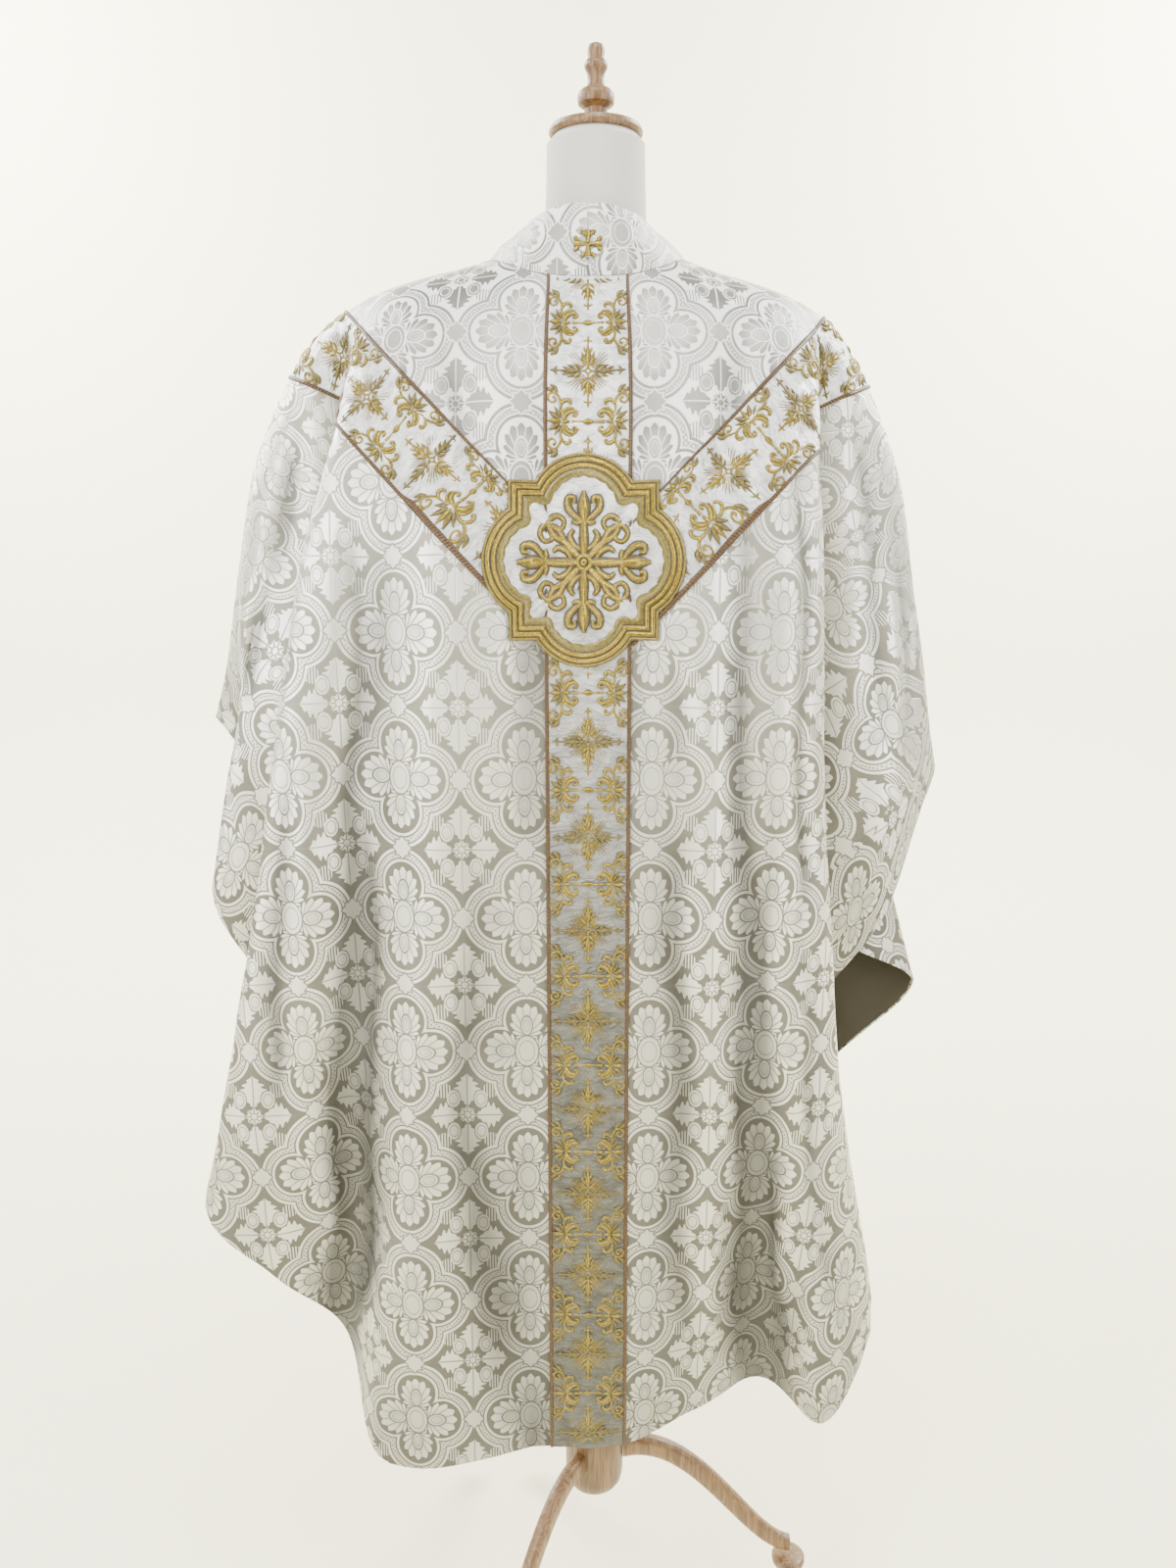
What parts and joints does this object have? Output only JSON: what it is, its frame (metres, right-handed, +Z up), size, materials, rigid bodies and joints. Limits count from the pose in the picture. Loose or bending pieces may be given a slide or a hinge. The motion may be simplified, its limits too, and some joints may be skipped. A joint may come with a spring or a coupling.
{
  "type": "gothic chasuble on dress form",
  "caption": "Full-cut damask vestment with a Y-shaped embroidered orphrey and quatrefoil medallion, hung on a limbless dress form with a turned tripod stand.",
  "frame": {"origin": "middle of the whole object's footprint at floor level; the form's pole stands 20 mm to +X of it and the garment's centre line 12 mm to +X", "axes": "+Z up; -Y is the garment's back with the medallion, +Y its front, +X the wearer's right"},
  "size_m": [0.8256, 0.4782, 1.787],
  "materials": {
    "damask": "ivory and silver silk damask, satin figure on a matte ground",
    "lining": "dark olive lining, matte",
    "satin": "white satin with gold embroidery and a brown-gold cord edge",
    "gold_thread": "padded gold satin stitch, silky sheen",
    "linen": "natural linen cover, matte",
    "oak": "light oak, satin varnish"
  },
  "bodies": {
    "root": {"back_panel": "damask", "front_panel": "damask", "back_lining": "lining", "front_lining": "lining", "orphrey_column_back": "satin", "orphrey_column_front": "satin", "orphrey_arm_back_right": "satin", "orphrey_arm_back_left": "satin", "orphrey_arm_front_right": "satin", "orphrey_arm_front_left": "satin", "medallion": "gold_thread", "collar_right": "damask", "collar_left": "damask", "collar_cross": "gold_thread", "form_bust": "linen", "form_neck_cap": "oak", "form_finial": "oak", "stand_pole": "oak", "stand_hub": "oak", "stand_leg_1": "oak", "stand_leg_2": "oak", "stand_leg_3": "oak", "stand_foot_1": "oak", "stand_foot_2": "oak", "stand_foot_3": "oak"}
  },
  "joints": []
}
